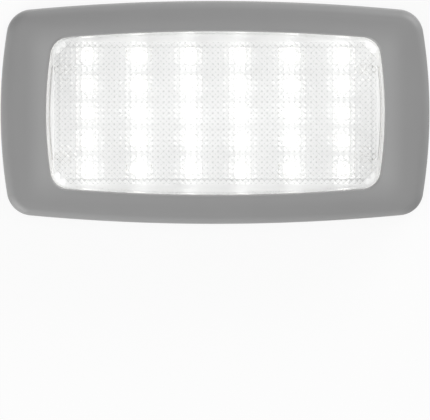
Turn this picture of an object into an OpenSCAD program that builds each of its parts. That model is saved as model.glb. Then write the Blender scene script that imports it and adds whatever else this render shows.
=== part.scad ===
// Interior dome light for a vehicle: a low rectangular lamp with thirty
// surface-mounted lamps on one board, a clear prismatic lens and a grey clip-on bezel.
// The lamp lies on its mounting face: the back is at z = 0 and the light leaves along +Z.
// X runs along the lamp and Y across it.

/* [Overall size] */
// Length over the bezel
body_l = 150; // [130:0.5:190]
// Width over the bezel
body_w = 78; // [68:0.5:96]
// Height from the mounting face to the crest of the bezel
body_h = 16.2; // [15:0.1:20]
// Radius of the bowed long edges
long_edge_r = 700; // [500:10:1200]
// Radius of the bowed short edges
short_edge_r = 180; // [140:5:400]
// Radius of the outer corners
corner_r = 9; // [7:0.5:14]

/* [Window in the bezel] */
// Width of the bezel's rail at each short end
end_rail = 16.1; // [14:0.1:19]
// Width of the bezel's rail along each long side
side_rail = 10.6; // [10:0.1:13]
// Radius of the window's long edges
window_long_r = 650; // [450:10:1200]
// Radius of the window's short edges
window_short_r = 140; // [110:5:400]
// Radius of the window's corners
window_corner_r = 6.6; // [5:0.1:9]

/* [Bezel] */
// Wall thickness of the bezel
bezel_wall = 2; // [1.5:0.1:2.4]
// Lean of the bezel's outer wall, from its skirt to its rolled edge
draft = 0.4; // [0.3:0.1:0.9]
// Radius that rolls the outer edge over
edge_r = 3.8; // [3:0.1:4.6]
// Rise of the rails from the rolled edge to their crest
crown = 0.8; // [0.4:0.1:1.2]
// Radius that rolls the rails down to the window
lip_r = 1.1; // [0.8:0.1:1.5]
// Thickness of the lip that holds the lens down
lip_t = 2; // [1.6:0.1:2.4]
// Gap between the bezel's skirt and the mounting surface
skirt_lift = 0.4; // [0.2:0.1:0.8]
// Thickness of the ribs inside the bezel
rib_t = 1.2; // [0.8:0.1:1.6]
// Height of the ribs' lower edges above the tray's outer wall
rib_clear = 0.7; // [0.4:0.1:1.2]

/* [Snap hooks] */
// Width of each snap hook
hook_w = 8; // [6:0.5:10]
// Thickness of each snap hook
hook_t = 1.2; // [1:0.1:1.4]
// How far each hook's barb stands out
barb = 1; // [0.7:0.1:1.3]
// Height of the barb from its tip to its catch
barb_h = 2.4; // [1.8:0.1:3]
// Height of the hooks' tips above the tray's floor
hook_tip_clear = 1.4; // [0.8:0.1:2]
// Play round a hook in its window
hook_play = 0.2; // [0.1:0.05:0.3]
// Place of the hooks along each long side, from the middle
hook_x = 34; // [28:1:40]

/* [Tray] */
// Thickness of the tray's floor
floor_t = 2; // [1.6:0.1:2.4]
// Thickness of the tray's outer wall
tray_wall = 1.5; // [1.2:0.1:1.7]
// Gap between the tray's wall and the bezel's, at the top of the skirt
tray_gap = 0.3; // [0.2:0.05:0.45]
// Height of the tray's outer wall
tray_wall_h = 7.6; // [7.2:0.1:9]
// Gap in plan from the window's edge to the lamp chamber's wall
chamber_gap = 1; // [0.8:0.1:1.4]
// Thickness of the lamp chamber's wall
chamber_wall = 1.6; // [1.2:0.1:1.9]
// Thickness of the rim that stands round the lens flange
rim_t = 1.3; // [1:0.1:1.5]
// Thickness of the ledge under the lens flange
ledge_t = 1.6; // [1.2:0.1:2]
// Thickness of the webs between the tray's two walls
web_t = 1.2; // [1:0.1:1.6]
// Height of the webs above the floor
web_h = 3.6; // [2.5:0.1:4.4]

/* [Fixing holes and wire entry] */
// Radius of the four fixing holes
screw_r = 2.2; // [1.8:0.1:2.6]
// Distance of the fixing holes from the short ends
screw_end = 9.6; // [9:0.1:10.5]
// Distance between the two fixing holes at each end
screw_span = 34; // [28:1:40]
// Radius of the boss round each fixing hole
screw_boss_r = 4.6; // [4.2:0.1:5.2]
// Height of the boss above the floor
screw_boss_h = 1.6; // [1:0.1:2.4]
// Depth of the countersink in each boss
sink_depth = 1.5; // [1:0.1:2]
// Radius of the wire entry
entry_r = 4; // [3:0.1:5]
// Distance of the wire entry from the middle
entry_x = 36; // [30:0.5:42]
// Thickness of the collar round the wire entry
entry_collar_t = 1.4; // [1:0.1:2]
// Height of the collar above the floor
entry_collar_h = 1; // [0.6:0.1:1.4]

/* [Lens] */
// Thickness of the lens at the edge of its window
lens_t = 2.2; // [1.8:0.1:2.6]
// Depth of the lens's edge below the crest of the bezel
lens_recess = 2; // [1.6:0.1:2.6]
// Rise of the lens's face from its edge to its middle
lens_crown = 0.6; // [0.2:0.1:1]
// Radius of the edge of the lens's face
lens_edge_r = 0.7; // [0.4:0.1:1]
// Height of the lens's face above its flange
lens_step = 1.6; // [1.3:0.1:2]
// Thickness of the flange
flange_t = 1.6; // [1.3:0.1:1.9]
// Width of the flange beyond the window's edge
flange_w = 2.6; // [2.3:0.1:3]
// Gap round the lens in the window
lens_gap = 0.35; // [0.2:0.05:0.6]
// Gap round the flange in its rim
flange_gap = 0.2; // [0.1:0.05:0.3]
// Pitch of the prisms
prism_pitch = 1.9; // [1.6:0.02:2.4]
// Depth of each prism
prism_h = 0.5; // [0.3:0.05:0.7]
// Smooth band between the prisms and the window's short edges
prism_end = 2.7; // [2:0.1:4]
// Smooth band between the prisms and the window's long edges
prism_side = 3.6; // [3:0.1:5]
// Least distance of a prism from the window's edge, which leaves out the corners
prism_margin = 0.8; // [0.6:0.1:1.6]
// Height of the low pad that the prisms stand on
prism_pad = 0.1; // [0.05:0.05:0.2]

/* [Board and lamps] */
// Thickness of the circuit board
board_t = 1.6; // [1:0.1:2]
// Height of the board above the floor
standoff_h = 3.2; // [3.1:0.1:3.8]
// Gap between the board's ends and the lamp chamber's wall
board_end_gap = 2.3; // [1.8:0.1:3]
// Gap between the board's sides and the lamp chamber's wall
board_side_gap = 0.6; // [0.4:0.1:1.2]
// Columns of lamps
led_cols = 6; // [4:1:6]
// Rows of lamps
led_rows = 5; // [3:1:5]
// Distance of the outer columns from the board's ends
led_end = 13.25; // [12:0.05:16]
// Distance of the outer rows from the board's sides
led_side = 9; // [8:0.05:11]
// Side of each lamp's square package
led_size = 5; // [4:0.1:5.6]
// Height of each lamp
led_h = 1.6; // [1.2:0.1:2]
// Radius of the phosphor well in each lamp
led_well_r = 2.05; // [1.6:0.05:2.3]
// Depth of the phosphor well
led_well_d = 0.15; // [0.1:0.05:0.25]
// Distance of the rivets from the board's ends
rivet_end = 5.4; // [4.6:0.1:6]
// Distance between the two rivets at each end
rivet_span = 29.8; // [26:0.2:34]
// Radius of the rivets' heads
rivet_head_r = 2.1; // [1.8:0.1:2.6]
// Height of the rivets' heads
rivet_head_h = 0.8; // [0.6:0.1:1.2]
// Radius of the rivets' shanks
rivet_r = 1.2; // [1:0.1:1.4]
// Gap round a shank in the board
rivet_gap = 0.2; // [0.1:0.05:0.3]
// Gap round a shank in its standoff
rivet_fit = 0.05; // [0.03:0.01:0.08]
// Radius of the standoffs
standoff_r = 2.8; // [2.4:0.1:3.2]

/* [Hidden] */

// Steps in which half a short edge, a corner and half a long edge are drawn
SHORT_STEPS = 4;
CORNER_STEPS = 6;
LONG_STEPS = 6;
$fn = 48;
// Overlap that makes two shapes one solid
JOIN = 0.3;

// Each outline is [length, width, long edge radius, short edge radius, corner radius]
body_form = [body_l, body_w, long_edge_r, short_edge_r, corner_r];
window_form = [body_l - 2 * end_rail, body_w - 2 * side_rail,
               window_long_r, window_short_r, window_corner_r];

// Heights, counted from the mounting face
edge_z = body_h - crown;
lip_z = edge_z + crown * sin(120);
lens_edge_z = body_h - lens_recess;
lens_face_z = lens_edge_z - lens_t;
flange_top = lens_edge_z - lens_step;
flange_z = flange_top - flange_t;
board_z = floor_t + standoff_h;
board_top = board_z + board_t;
hook_tip_z = floor_t + hook_tip_clear;
catch_z = hook_tip_z + barb_h;

// Places in from the bezel's outer edge
tray_in = bezel_wall + draft + tray_gap;
hook_in = tray_in + tray_wall + hook_play;
// Places out from the window's edge
rim_out = flange_w + flange_gap;

// The board reaches under the window's long edges, and stops just short of its ends
board_form = [window_form[0] + 2 * (chamber_gap - board_end_gap),
              window_form[1] + 2 * (chamber_gap - board_side_gap),
              window_long_r, window_short_r, window_corner_r];
led_pitch_x = (board_form[0] - 2 * led_end) / (led_cols - 1);
led_pitch_y = (board_form[1] - 2 * led_side) / (led_rows - 1);

// Standard packages on the back of the board, as [length, width, height]
terminal_size = [7, 7.6, 2.7];
fuse_size = [3.2, 1.6, 0.9];
diode_size = [4.3, 2.6, 2.1];
suppressor_size = [4.6, 3.6, 2.3];
chip_size = [4.9, 3.9, 1.5];
coil_size = [6, 6, 2.8];
capacitor_size = [3.2, 2.5, 2];
resistor_size = [3.2, 1.6, 0.6];
// Length of the metal cap at each end of a ceramic part
cap_l = 0.5;
// Thickness of a moulded part's leads, and how far they stand out of it
lead_t = 0.25;
lead_out = 0.5;

// Places on the back of the board, as [x, y] from its middle
terminal_at = [-26, 0];
fuse_at = [-17.5, 5.5];
diode_at = [-17.5, -1];
suppressor_at = [-17.5, -8];
input_capacitor_at = [-9.5, 4];
chip_at = [-2, 0];
coil_at = [9, 0];
output_capacitor_at = [17.5, 4];
sense_at = [-2, 7.5];
row_resistor_x = 26;
post_x = 36;

// The outline moved outwards by d all round
function grown(form, d) =
    [form[0] + 2 * d, form[1] + 2 * d, form[2] + d, form[3] + d, form[4] + d];

function long_centre(form) = [0, form[1] / 2 - form[2]];
function short_centre(form) = [form[0] / 2 - form[3], 0];

// The corner's centre lies where the two edges' arcs, both moved in by its radius, cross
function corner_centre(form) = let (
    a = long_centre(form),
    b = short_centre(form),
    ra = form[2] - form[4],
    rb = form[3] - form[4],
    d = norm(b - a),
    along = (ra * ra - rb * rb + d * d) / (2 * d),
    aside = sqrt(ra * ra - along * along),
    u = (b - a) / d)
    a + along * u + aside * [u[1], -u[0]];

function arc(centre, r, from, to, steps, first = 1) =
    [for (i = [first:steps]) let (t = from + (to - from) * i / steps)
        centre + r * [cos(t), sin(t)]];

// A quarter of the outline, from the middle of a short edge to the middle of a long one
function quarter(form) = let (
    c = corner_centre(form),
    to_short = c - short_centre(form),
    to_long = c - long_centre(form),
    low = atan2(to_short[1], to_short[0]),
    high = atan2(to_long[1], to_long[0]))
    concat(
        arc(short_centre(form), form[3], 0, low, SHORT_STEPS, 0),
        arc(c, form[4], low, high, CORNER_STEPS),
        arc(long_centre(form), form[2], high, 90, LONG_STEPS));

// The whole outline, with the same number of points whatever its form
function outline(form) = let (q = quarter(form), last = len(q) - 1)
    concat(
        [for (i = [0:last - 1]) q[i]],
        [for (i = [last:-1:1]) [-q[i][0], q[i][1]]],
        [for (i = [0:last - 1]) -q[i]],
        [for (i = [last:-1:1]) [q[i][0], -q[i][1]]]);

function inside(p, form) = let (c = corner_centre(form), x = abs(p[0]), y = abs(p[1]))
    norm([x, y] - long_centre(form)) < form[2]
    && norm([x, y] - short_centre(form)) < form[3]
    && !(x > c[0] && y > c[1] && norm([x, y] - c) > form[4]);

// A ring of the bezel: d_out in from the outer edge, d_in out from the window,
// or between these two by the share mix
function bezel_ring(mix, d_out, d_in, z) = let (
    o = outline(grown(body_form, -d_out)),
    w = outline(grown(window_form, d_in)))
    [for (i = [0:len(o) - 1])
        let (p = o[i] * (1 - mix) + w[i] * mix) [p[0], p[1], z]];

function flat_ring(form, z) = [for (p = outline(form)) [p[0], p[1], z]];

function scaled_ring(form, share, z) = [for (p = outline(form)) [p[0] * share, p[1] * share, z]];

// Quads between consecutive rings of n points each, from ring a to ring b
function band(a, b, n) = [for (i = [0:n - 1]) let (j = (i + 1) % n)
    each [[a * n + i, a * n + j, b * n + j], [a * n + i, b * n + j, b * n + i]]];

// A closed tube through the rings, whose last ring meets the first
module loop_skin(rings) {
    n = len(rings[0]);
    m = len(rings);
    polyhedron(
        points = [for (r = rings) each r],
        faces = [for (k = [0:m - 1]) each [for (f = band(k, (k + 1) % m, n)) [f[2], f[1], f[0]]]]);
}

// A solid through the rings from bottom to top, closed by two flat caps
module capped_skin(rings) {
    n = len(rings[0]);
    m = len(rings);
    polyhedron(
        points = [for (r = rings) each r],
        faces = concat(
            [[for (i = [0:n - 1]) i]],
            [for (k = [0:m - 2]) each [for (f = band(k, k + 1, n)) [f[2], f[1], f[0]]]],
            [[for (i = [n - 1:-1:0]) (m - 1) * n + i]]));
}

// A wall between two outlines that are out_d and in_d outside the form
module wall_ring(form, out_d, in_d, z, h) {
    translate([0, 0, z])
        linear_extrude(h)
            difference() {
                polygon(outline(grown(form, out_d)));
                polygon(outline(grown(form, in_d)));
            }
}

// Children stand on the outer edge of the long side at x, with +Y outwards
module on_long_side(x, side) {
    tilt = asin(x / long_edge_r);
    mirror([0, side < 0 ? 1 : 0, 0])
        translate([0, body_w / 2 - long_edge_r, 0])
            rotate([0, 0, -tilt])
                translate([0, long_edge_r, 0])
                    children();
}

// Children stand on the outer edge of the short end at y, with +Y outwards
module on_short_end(y, side) {
    tilt = asin(y / short_edge_r);
    mirror([side < 0 ? 1 : 0, 0, 0])
        translate([body_l / 2 - short_edge_r, 0, 0])
            rotate([0, 0, tilt])
                translate([short_edge_r, 0, 0])
                    rotate([0, 0, -90])
                        children();
}

module at_hooks() {
    for (side = [-1, 1]) {
        for (x = [-hook_x, hook_x])
            on_long_side(x, side) children();
        on_short_end(0, side) children();
    }
}

module at_screws() {
    for (x = [-1, 1], y = [-1, 1])
        translate([x * (body_l / 2 - screw_end), y * screw_span / 2, 0])
            children();
}

module at_rivets() {
    for (x = [-1, 1], y = [-1, 1])
        translate([x * (board_form[0] / 2 - rivet_end), y * rivet_span / 2, 0])
            children();
}

// One springy leg that hangs from the bezel's roof and ends in a barb
module snap_hook() {
    top = edge_z - bezel_wall + JOIN;
    translate([-hook_w / 2, -hook_in, 0])
        rotate([90, 0, 90])
            linear_extrude(hook_w)
                polygon([[0, top], [-hook_t, top], [-hook_t, hook_tip_z], [0, hook_tip_z],
                         [barb, catch_z - barb_h / 4], [barb, catch_z], [0, catch_z]]);
}

// A thin rib that ties the bezel's outer wall to its roof
module bezel_rib(reach) {
    foot = tray_wall_h + rib_clear;
    root = draft + bezel_wall - JOIN;
    translate([-rib_t / 2, -reach, foot])
        cube([rib_t, reach - root, edge_z - bezel_wall + JOIN - foot]);
}

// The grey bezel: rolled outer edge, crowned rails and a lip that holds the lens
module bezel() {
    roll_steps = 5;
    roll_end = 80;
    crown_steps = 5;
    lip_steps = 3;
    roll_in = draft + edge_r * (1 - cos(roll_end));
    roll_z = edge_z - edge_r;
    roof = bezel_wall;
    inner_in = draft + edge_r;
    rail_short = end_rail - rim_out - rim_t - hook_play;
    rail_long = side_rail - rim_out - rim_t - hook_play;
    color([0.56, 0.56, 0.56])
    union() {
        loop_skin(concat(
            [bezel_ring(0, 0, 0, skirt_lift)],
            [for (i = [0:roll_steps]) let (t = roll_end * i / roll_steps)
                bezel_ring(0, draft + edge_r * (1 - cos(t)), 0, roll_z + edge_r * sin(t))],
            [for (i = [1:crown_steps]) let (t = i / crown_steps)
                bezel_ring(t, roll_in, lip_r, edge_z + crown * sin(120 * t))],
            [for (i = [1:lip_steps]) let (t = 90 * i / lip_steps)
                bezel_ring(1, 0, lip_r * (1 - sin(t)), lip_z - lip_r * (1 - cos(t)))],
            [bezel_ring(1, 0, 0, flange_top),
             bezel_ring(1, 0, lip_t, flange_top),
             bezel_ring(1, 0, lip_t, lip_z - roof),
             bezel_ring(0.5, inner_in, lip_t, edge_z + crown / 2 - roof),
             bezel_ring(0, inner_in, 0, edge_z - roof),
             bezel_ring(0, draft + bezel_wall, 0, roll_z),
             bezel_ring(0, bezel_wall, 0, skirt_lift)]));
        at_hooks() snap_hook();
        for (side = [-1, 1]) {
            for (x = [-hook_x - hook_w, -hook_x + hook_w, hook_x - hook_w, hook_x + hook_w, 0])
                on_long_side(x, side) bezel_rib(rail_long);
            for (y = [-hook_w, hook_w])
                on_short_end(y, side) bezel_rib(rail_short);
        }
    }
}

// The prisms on the inner face of the lens: a plate whose underside is one four-sided
// point after another, wherever a whole one fits inside the window
module prism_plate() {
    field = grown(window_form, -prism_margin);
    cols = 2 * floor((window_form[0] / 2 - prism_end) / prism_pitch - 0.5) + 1;
    rows = 2 * floor((window_form[1] / 2 - prism_side) / prism_pitch);
    knots = (cols + 1) * (rows + 1);
    xs = [for (i = [0:cols]) (i - cols / 2) * prism_pitch];
    ys = [for (j = [0:rows]) (j - rows / 2) * prism_pitch];
    function knot(i, j) = j * (cols + 1) + i;
    function tip(i, j) = 2 * knots + j * cols + i;
    function filled(i, j) = i >= 0 && i < cols && j >= 0 && j < rows
        && inside([max(-xs[i], xs[i + 1]), max(-ys[j], ys[j + 1])], field);
    polyhedron(
        points = concat(
            [for (y = ys, x = xs) [x, y, lens_face_z - prism_pad]],
            [for (y = ys, x = xs) [x, y, lens_face_z + JOIN]],
            [for (j = [0:rows - 1], i = [0:cols - 1])
                [(xs[i] + xs[i + 1]) / 2, (ys[j] + ys[j + 1]) / 2,
                 lens_face_z - prism_pad - prism_h]]),
        faces = [for (j = [0:rows - 1], i = [0:cols - 1]) if (filled(i, j))
            let (c = [knot(i, j), knot(i + 1, j), knot(i + 1, j + 1), knot(i, j + 1)],
                 beside = [[0, -1], [1, 0], [0, 1], [-1, 0]])
            each concat(
                [[for (k = [3:-1:0]) c[k] + knots]],
                [for (k = [0:3]) [c[k], c[(k + 1) % 4], tip(i, j)]],
                [for (k = [0:3]) if (!filled(i + beside[k][0], j + beside[k][1]))
                    [c[(k + 1) % 4], c[k], c[k] + knots, c[(k + 1) % 4] + knots]])]);
}

// The clear lens: a crowned face that fills the window, and a flange under the bezel's lip
module lens() {
    face_form = grown(window_form, -lens_gap);
    round_steps = 3;
    crown_shares = [0.85, 0.6, 0.3, 0.02];
    recess_out = chamber_gap - flange_gap;
    color([0.93, 0.95, 0.97, 0.35])
    union() {
        difference() {
            capped_skin(concat(
                [flat_ring(grown(window_form, flange_w), flange_z),
                 flat_ring(grown(window_form, flange_w), flange_top),
                 flat_ring(face_form, flange_top)],
                [for (i = [0:round_steps]) let (t = 90 * i / round_steps)
                    flat_ring(grown(face_form, -lens_edge_r * (1 - cos(t))),
                              lens_edge_z - lens_edge_r * (1 - sin(t)))],
                [for (s = crown_shares)
                    scaled_ring(grown(face_form, -lens_edge_r), s,
                                lens_edge_z + lens_crown * (1 - s * s))]));
            translate([0, 0, flange_z - JOIN])
                linear_extrude(lens_face_z - flange_z + JOIN)
                    polygon(outline(grown(window_form, recess_out)));
        }
        prism_plate();
    }
}

// Boss for a fixing screw, whose countersunk head the bezel covers
module screw_boss() {
    cylinder(r = screw_boss_r, h = floor_t + screw_boss_h);
}

module screw_hole() {
    top = floor_t + screw_boss_h;
    translate([0, 0, -JOIN])
        cylinder(r = screw_r, h = top + 2 * JOIN);
    translate([0, 0, top - sink_depth])
        cylinder(r1 = screw_r, r2 = screw_r + sink_depth, h = sink_depth);
}

// Webs that tie the lamp chamber's wall to the tray's outer wall
module webs() {
    end_reach = end_rail - chamber_gap;
    side_reach = side_rail - chamber_gap;
    start = tray_in + tray_wall / 2;
    for (side = [-1, 1]) {
        for (x = [-hook_x - hook_w, -hook_x + hook_w, 0, hook_x - hook_w, hook_x + hook_w])
            on_long_side(x, side)
                translate([-web_t / 2, -side_reach + chamber_wall / 2 - web_t, floor_t - JOIN])
                    cube([web_t, side_reach - start, web_h + JOIN]);
        for (y = [-hook_w, hook_w])
            on_short_end(y, side)
                translate([-web_t / 2, -end_reach + chamber_wall / 2 - web_t, floor_t - JOIN])
                    cube([web_t, end_reach - start, web_h + JOIN]);
    }
}

// Window in the tray's outer wall that a barb snaps into. It runs down through the floor,
// where the mould's core is drawn out
module catch_window() {
    translate([-hook_w / 2 - hook_play, -tray_in - tray_wall - hook_play, -JOIN])
        cube([hook_w + 2 * hook_play, tray_wall + tray_gap + hook_play,
              JOIN + catch_z + hook_play]);
}

// The white tray that is screwed to the vehicle and carries everything else
module tray() {
    out = grown(body_form, -tray_in);
    color([0.93, 0.93, 0.92])
    difference() {
        union() {
            linear_extrude(floor_t)
                polygon(outline(out));
            wall_ring(body_form, -tray_in, -tray_in - tray_wall, floor_t - JOIN,
                      tray_wall_h - floor_t + JOIN);
            wall_ring(window_form, chamber_gap + chamber_wall, chamber_gap,
                      floor_t - JOIN, flange_z - ledge_t - floor_t + 2 * JOIN);
            wall_ring(window_form, rim_out + rim_t, chamber_gap, flange_z - ledge_t, ledge_t);
            wall_ring(window_form, rim_out + rim_t, rim_out, flange_z - JOIN,
                      flange_t + JOIN - flange_gap);
            webs();
            at_screws() screw_boss();
            at_rivets()
                cylinder(r = standoff_r, h = board_z);
            for (x = [-post_x, post_x], y = [-1, 1])
                translate([x, y * led_pitch_y, 0])
                    cylinder(r = standoff_r - rivet_r, h = board_z);
            translate([-entry_x, 0, 0])
                cylinder(r = entry_r + entry_collar_t, h = floor_t + entry_collar_h);
        }
        at_screws() screw_hole();
        at_rivets()
            translate([0, 0, floor_t])
                cylinder(r = rivet_r + rivet_fit, h = board_z);
        translate([-entry_x, 0, -JOIN])
            cylinder(r = entry_r, h = floor_t + entry_collar_h + 2 * JOIN);
        at_hooks() catch_window();
    }
}

// The white circuit board
module circuit_board() {
    color([0.95, 0.95, 0.94])
    difference() {
        translate([0, 0, board_z])
            linear_extrude(board_t)
                polygon(outline(board_form));
        at_rivets()
            translate([0, 0, board_z - JOIN])
                cylinder(r = rivet_r + rivet_gap, h = board_t + 2 * JOIN);
    }
}

// Nylon rivets that hold the board down on its standoffs
module board_rivets() {
    leg = standoff_h - rivet_gap;
    color([0.9, 0.9, 0.88])
    at_rivets() {
        translate([0, 0, board_top])
            cylinder(r1 = rivet_head_r, r2 = rivet_head_r * 0.7, h = rivet_head_h);
        translate([0, 0, board_z - leg])
            cylinder(r = rivet_r, h = leg + board_t + JOIN);
    }
}

// One lamp: a white package with a phosphor well, a marked corner and six leads
module led() {
    foot_w = led_size * 0.16;
    foot_out = led_size * 0.05;
    foot_t = led_h * 0.2;
    foot_pitch = led_size * 0.32;
    mark = led_size * 0.12;
    half = led_size / 2;
    color([0.98, 0.95, 0.8])
    difference() {
        union() {
            translate([-half, -half, 0])
                cube([led_size, led_size, led_h]);
            for (y = [-foot_pitch, 0, foot_pitch])
                translate([-half - foot_out, y - foot_w / 2, 0])
                    cube([led_size + 2 * foot_out, foot_w, foot_t]);
        }
        translate([0, 0, led_h - led_well_d])
            cylinder(r = led_well_r, h = led_well_d + JOIN);
        translate([half, half, led_h])
            rotate([0, 0, 45])
                cube([2 * mark, 2 * mark, 2 * mark], center = true);
    }
}

module placed_led(row, col) {
    translate([(col - (led_cols + 1) / 2) * led_pitch_x,
               ((led_rows + 1) / 2 - row) * led_pitch_y,
               board_top])
        led();
}

// A ceramic part on the back of the board: a body with a metal cap at each end
module capped_part(at, size) {
    slim = cap_l / 10;
    translate([at[0] - size[0] / 2, at[1] - size[1] / 2, board_z - size[2]]) {
        translate([cap_l / 2, slim, slim])
            cube([size[0] - cap_l, size[1] - 2 * slim, size[2] - slim]);
        for (x = [0, size[0] - cap_l])
            translate([x, 0, 0])
                cube([cap_l, size[1], size[2]]);
    }
}

// A moulded diode with two flat leads that fold under its body
module moulded_diode(at, size) {
    lead_w = size[1] * 0.55;
    translate([at[0], at[1], board_z]) {
        translate([-size[0] / 2, -size[1] / 2, -size[2]])
            cube([size[0], size[1], size[2] - lead_t / 2]);
        translate([-size[0] / 2 - lead_out, -lead_w / 2, -lead_t])
            cube([size[0] + 2 * lead_out, lead_w, lead_t]);
        for (x = [-size[0] / 2 - lead_out, size[0] / 2])
            translate([x, -lead_w / 2, -size[2] / 2])
                cube([lead_out, lead_w, size[2] / 2]);
    }
}

// Low push-in terminal that takes the two supply wires
module wire_terminal() {
    mouth_r = terminal_size[2] * 0.31;
    poles = terminal_size[1] * 0.4;
    depth = terminal_size[0] * 0.65;
    color([0.96, 0.96, 0.94])
    difference() {
        translate([terminal_at[0] - terminal_size[0] / 2, terminal_at[1] - terminal_size[1] / 2,
                   board_z - terminal_size[2]])
            cube(terminal_size);
        for (y = [-poles / 2, poles / 2])
            translate([terminal_at[0] - terminal_size[0] / 2 - JOIN, terminal_at[1] + y,
                       board_z - terminal_size[2] / 2])
                rotate([0, 90, 0])
                    cylinder(r = mouth_r, h = depth + JOIN);
    }
}

module input_fuse() {
    color([0.85, 0.85, 0.82]) capped_part(fuse_at, fuse_size);
}

module reverse_diode() {
    color([0.12, 0.12, 0.12]) moulded_diode(diode_at, diode_size);
}

module surge_suppressor() {
    color([0.12, 0.12, 0.12]) moulded_diode(suppressor_at, suppressor_size);
}

// Driver chip: a moulded body with four gull-wing leads on each side
module driver_chip() {
    leads = 4;
    pitch = chip_size[0] * 0.26;
    lead_w = pitch / 3;
    reach = 2 * lead_out;
    knee = lead_out / 2;
    color([0.1, 0.1, 0.1])
    translate([chip_at[0], chip_at[1], board_z]) {
        translate([-chip_size[0] / 2, -chip_size[1] / 2, -chip_size[2] - lead_t / 2])
            cube(chip_size);
        for (i = [0:leads - 1], turn = [0, 180])
            rotate([0, 0, turn])
                translate([(i - (leads - 1) / 2) * pitch - lead_w / 2, chip_size[1] / 2, 0]) {
                    translate([0, -knee, -chip_size[2] / 2 - lead_t])
                        cube([lead_w, 2 * knee, lead_t]);
                    translate([0, knee - lead_t, -chip_size[2] / 2 - lead_t])
                        cube([lead_w, lead_t, chip_size[2] / 2 + lead_t]);
                    translate([0, knee - lead_t, -lead_t])
                        cube([lead_w, reach, lead_t]);
                }
    }
}

// Shielded coil of the driver: a ferrite with cut corners, parted from its core by a groove
module driver_coil() {
    half = coil_size[0] / 2;
    cut = coil_size[0] / 5;
    groove_d = coil_size[2] / 7;
    color([0.3, 0.3, 0.32])
    translate([coil_at[0], coil_at[1], board_z - coil_size[2]])
        difference() {
            linear_extrude(coil_size[2])
                polygon([[-half + cut, -half], [half - cut, -half], [half, -half + cut],
                         [half, half - cut], [half - cut, half], [-half + cut, half],
                         [-half, half - cut], [-half, -half + cut]]);
            translate([0, 0, -JOIN])
                difference() {
                    cylinder(r = half * 0.78, h = groove_d + JOIN);
                    cylinder(r = half * 0.62, h = groove_d + JOIN);
                }
        }
}

module input_capacitor() {
    color([0.72, 0.62, 0.48]) capped_part(input_capacitor_at, capacitor_size);
}

module output_capacitor() {
    color([0.72, 0.62, 0.48]) capped_part(output_capacitor_at, capacitor_size);
}

module sense_resistor() {
    color([0.15, 0.15, 0.16]) capped_part(sense_at, resistor_size);
}

// One current-sharing resistor for each row of lamps
module row_resistors() {
    color([0.15, 0.15, 0.16])
    for (row = [1:led_rows])
        capped_part([row_resistor_x, ((led_rows + 1) / 2 - row) * led_pitch_y], resistor_size);
}

tray();
circuit_board();
board_rivets();
lens();
bezel();
wire_terminal();
input_fuse();
reverse_diode();
surge_suppressor();
driver_chip();
driver_coil();
input_capacitor();
output_capacitor();
sense_resistor();
row_resistors();
for (row = [1:led_rows], col = [1:led_cols])
    placed_led(row, col);
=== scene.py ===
# Car dome light, lit, lying on its mounting face with its lens up. Lengths are in metres, in the
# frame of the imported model: +X along the lamp, +Y across it, +Z the way the light leaves.
import math

import bmesh
import bpy
from mathutils import Matrix, Vector


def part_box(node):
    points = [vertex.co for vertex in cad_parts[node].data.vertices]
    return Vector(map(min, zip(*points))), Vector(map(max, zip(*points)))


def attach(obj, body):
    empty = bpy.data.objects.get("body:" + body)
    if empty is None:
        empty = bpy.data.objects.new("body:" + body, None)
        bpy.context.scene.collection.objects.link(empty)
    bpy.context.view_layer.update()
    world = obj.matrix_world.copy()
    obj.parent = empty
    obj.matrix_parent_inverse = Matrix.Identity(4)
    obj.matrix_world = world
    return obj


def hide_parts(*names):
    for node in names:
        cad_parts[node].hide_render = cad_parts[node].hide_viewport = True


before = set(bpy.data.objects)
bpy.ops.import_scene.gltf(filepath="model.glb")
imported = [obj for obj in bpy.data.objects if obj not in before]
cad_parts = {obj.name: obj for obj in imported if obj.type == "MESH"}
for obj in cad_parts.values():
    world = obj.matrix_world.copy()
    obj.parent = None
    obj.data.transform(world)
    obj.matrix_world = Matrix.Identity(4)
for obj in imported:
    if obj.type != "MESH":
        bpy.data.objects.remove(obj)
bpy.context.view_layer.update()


# The studio: a pale card to lie on, an even white surround, a soft strip overhead and a long
# soft box along each side. The camera looks down from far off, a little to the upper left,
# and is aimed below the lamp so that the lamp fills the upper half of the frame.
FRAME_W_PX = 430
LAMP_L_PX = 428.9
LAMP_ABOVE_MIDDLE_PX = 97.6
LENS_MM = 600
SENSOR_MM = 36
EYE_LEFT = 0.032
EYE_UP = 0.047
lamp_low, lamp_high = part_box("bezel")
lamp_l = lamp_high.x - lamp_low.x
lamp_w = lamp_high.y - lamp_low.y
pixel = lamp_l / LAMP_L_PX
camera_h = FRAME_W_PX * pixel * LENS_MM / SENSOR_MM
camera_place = Vector((-EYE_LEFT, EYE_UP, lamp_low.z + camera_h))
camera_aim = Vector((0, -LAMP_ABOVE_MIDDLE_PX * pixel, lamp_low.z))
camera_data = bpy.data.cameras.new("camera")
camera_data.lens = LENS_MM
camera_data.sensor_width = SENSOR_MM
camera_data.clip_start = 0.1
camera_data.clip_end = 50
camera = bpy.data.objects.new("camera", camera_data)
back = (camera_place - camera_aim).normalized()
right = Vector((0, 1, 0)).cross(back).normalized()
camera.rotation_euler = Matrix((right, back.cross(right), back)).transposed().to_euler()
camera.location = camera_place
bpy.context.scene.collection.objects.link(camera)
bpy.context.scene.camera = camera
bpy.context.scene.view_settings.view_transform = "Standard"


def srgb(code):
    """An sRGB hex value such as #939393 as linear red, green, blue and alpha."""
    levels = [int(code[k:k + 2], 16) / 255 for k in (1, 3, 5)]
    return [v / 12.92 if v <= 0.04045 else ((v + 0.055) / 1.055) ** 2.4 for v in levels] + [1.0]


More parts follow.
